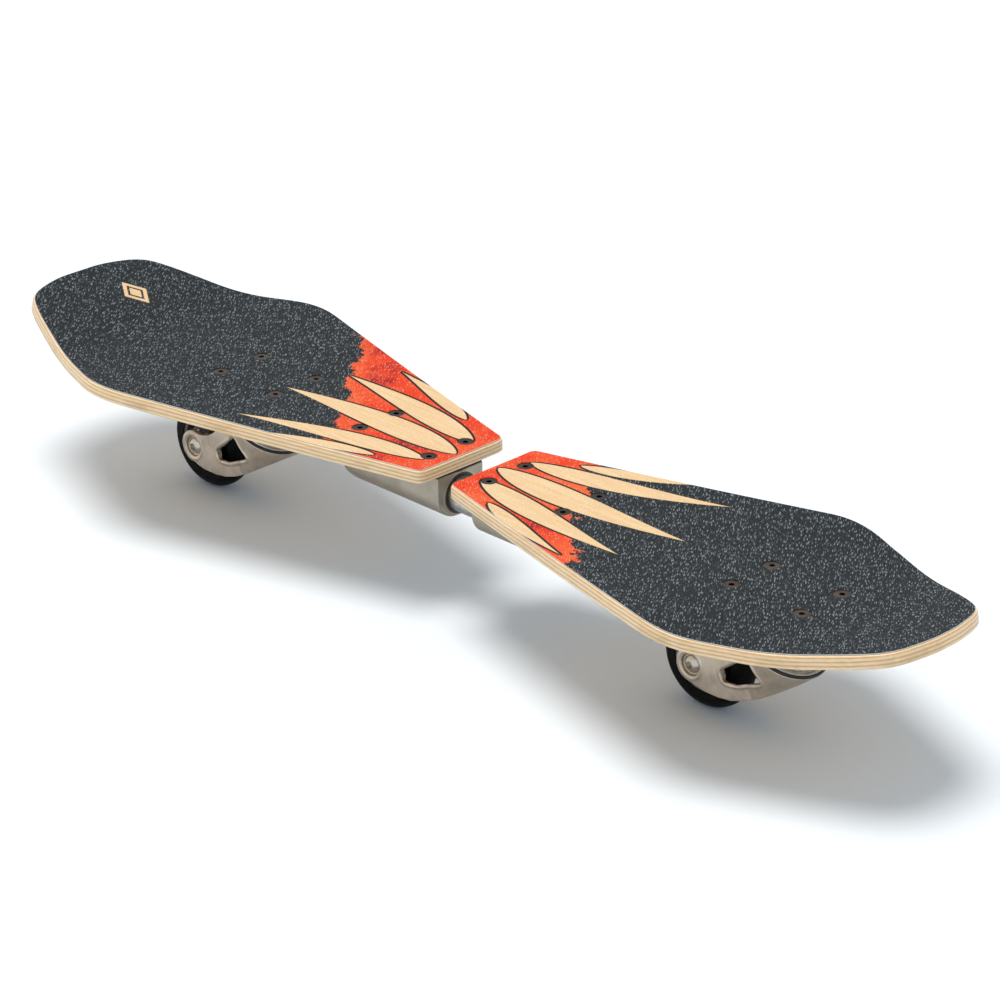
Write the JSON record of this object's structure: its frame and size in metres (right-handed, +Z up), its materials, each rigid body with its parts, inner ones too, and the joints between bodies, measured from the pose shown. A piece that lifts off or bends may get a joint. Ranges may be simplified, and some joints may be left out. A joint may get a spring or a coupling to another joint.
{
  "type": "caster board",
  "caption": "Two-wheeled caster board: two dished wooden decks joined by a sprung twisting joint, each on an inclined swivelling caster.",
  "frame": {"origin": "on the ground, half way between the two ends and on the middle line; the wheels stand on Z = 0", "axes": "+X forward along the board, away from the trailing wheels; +Z up; +Y to the left"},
  "size_m": [0.8912, 0.2282, 0.1349],
  "materials": {
    "maple": "clear-lacquered laminated maple, bare edges",
    "grip_sheet": null,
    "cast_aluminium": "satin bead-blasted casting",
    "black_rubber": "matt moulded rubber",
    "bright_steel": "ground steel",
    "zinc_steel": "bright zinc plate",
    "black_screw_steel": "black oxide",
    "polished_steel": "polished bearing steel",
    "bronze": "sintered bronze, oiled",
    "spring_steel": "blued spring steel",
    "tyre_urethane": "smooth black urethane",
    "hub_plastic": "grey glass-filled nylon"
  },
  "bodies": {
    "rear_half": {"rear_deck": "maple", "rear_grip": "grip_sheet", "rear_bracket": "cast_aluminium", "rear_bracket_pad": "black_rubber", "rear_bracket_screws": "black_screw_steel", "rear_caster_screws": "black_screw_steel", "rear_caster_nuts": "zinc_steel", "rear_caster_base": "cast_aluminium", "rear_kingpin": "zinc_steel", "rear_kingpin_washer": "zinc_steel", "rear_kingpin_nut": "zinc_steel", "rear_dust_ring": "polished_steel", "rear_upper_race": "polished_steel", "joint_bushes": "bronze", "joint_seal": "black_rubber", "joint_washer": "zinc_steel", "torsion_bar": "spring_steel"},
    "front_half": {"front_deck": "maple", "front_grip": "grip_sheet", "front_bracket": "cast_aluminium", "front_bracket_pad": "black_rubber", "front_bracket_screws": "black_screw_steel", "front_caster_screws": "black_screw_steel", "front_caster_nuts": "zinc_steel", "front_caster_base": "cast_aluminium", "front_kingpin": "zinc_steel", "front_kingpin_washer": "zinc_steel", "front_kingpin_nut": "zinc_steel", "front_dust_ring": "polished_steel", "front_upper_race": "polished_steel", "spigot": "bright_steel", "spigot_pin": "bright_steel", "stop_pin": "bright_steel", "joint_circlip": "spring_steel"},
    "rear_caster": {"rear_fork": "cast_aluminium", "rear_lower_race": "polished_steel", "rear_swivel_bush": "bronze", "rear_bearing_inners": "polished_steel", "rear_bearing_spacer": "bright_steel", "rear_axle_barrel": "zinc_steel", "rear_axle_screw": "zinc_steel"},
    "rear_wheel": {"rear_tyre": "tyre_urethane", "rear_hub": "hub_plastic", "rear_bearing_outers": "polished_steel", "rear_bearing_seals": "black_rubber"},
    "rear_swivel_ball_train": {"rear_swivel_balls": "polished_steel"},
    "rear_wheel_ball_train": {"rear_bearing_balls": "polished_steel"},
    "front_caster": {"front_fork": "cast_aluminium", "front_lower_race": "polished_steel", "front_swivel_bush": "bronze", "front_bearing_inners": "polished_steel", "front_bearing_spacer": "bright_steel", "front_axle_barrel": "zinc_steel", "front_axle_screw": "zinc_steel"},
    "front_wheel": {"front_tyre": "tyre_urethane", "front_hub": "hub_plastic", "front_bearing_outers": "polished_steel", "front_bearing_seals": "black_rubber"},
    "front_swivel_ball_train": {"front_swivel_balls": "polished_steel"},
    "front_wheel_ball_train": {"front_bearing_balls": "polished_steel"}
  },
  "joints": [
    {"name": "board_twist", "type": "hinge", "parent": "rear_half", "child": "front_half", "pos_m": [0.00998, 0, 0.081], "axis": [1, 0, 0], "range_deg": [-25, 25], "stiffness_Nm_per_rad": 92, "deforming": ["torsion_bar"]},
    {"name": "rear_swivel", "type": "hinge", "parent": "rear_half", "child": "rear_caster", "pos_m": [-0.21442, 0, 0.0727], "axis": [0.5, 0, 0.866], "continuous": true},
    {"name": "rear_wheel_spin", "type": "hinge", "parent": "rear_caster", "child": "rear_wheel", "pos_m": [-0.28262, 0, 0.038], "axis": [0, 1, 0], "continuous": true},
    {"name": "rear_swivel_ball_roll", "type": "hinge", "parent": "rear_half", "child": "rear_swivel_ball_train", "pos_m": [-0.21442, 0, 0.0727], "axis": [0.5, 0, 0.866], "continuous": true},
    {"name": "rear_wheel_ball_roll", "type": "hinge", "parent": "rear_caster", "child": "rear_wheel_ball_train", "pos_m": [-0.28262, 0, 0.038], "axis": [0, 1, 0], "continuous": true},
    {"name": "front_swivel", "type": "hinge", "parent": "front_half", "child": "front_caster", "pos_m": [0.30878, 0, 0.0727], "axis": [0.5, 0, 0.866], "continuous": true},
    {"name": "front_wheel_spin", "type": "hinge", "parent": "front_caster", "child": "front_wheel", "pos_m": [0.24058, 0, 0.038], "axis": [0, 1, 0], "continuous": true},
    {"name": "front_swivel_ball_roll", "type": "hinge", "parent": "front_half", "child": "front_swivel_ball_train", "pos_m": [0.30878, 0, 0.0727], "axis": [0.5, 0, 0.866], "continuous": true},
    {"name": "front_wheel_ball_roll", "type": "hinge", "parent": "front_caster", "child": "front_wheel_ball_train", "pos_m": [0.24058, 0, 0.038], "axis": [0, 1, 0], "continuous": true}
  ],
  "couplings": [
    {"joint": "rear_swivel_ball_roll", "follows": "rear_swivel", "ratio": 0.5},
    {"joint": "rear_wheel_ball_roll", "follows": "rear_wheel_spin", "ratio": 0.632},
    {"joint": "front_swivel_ball_roll", "follows": "front_swivel", "ratio": 0.5},
    {"joint": "front_wheel_ball_roll", "follows": "front_wheel_spin", "ratio": 0.632}
  ]
}
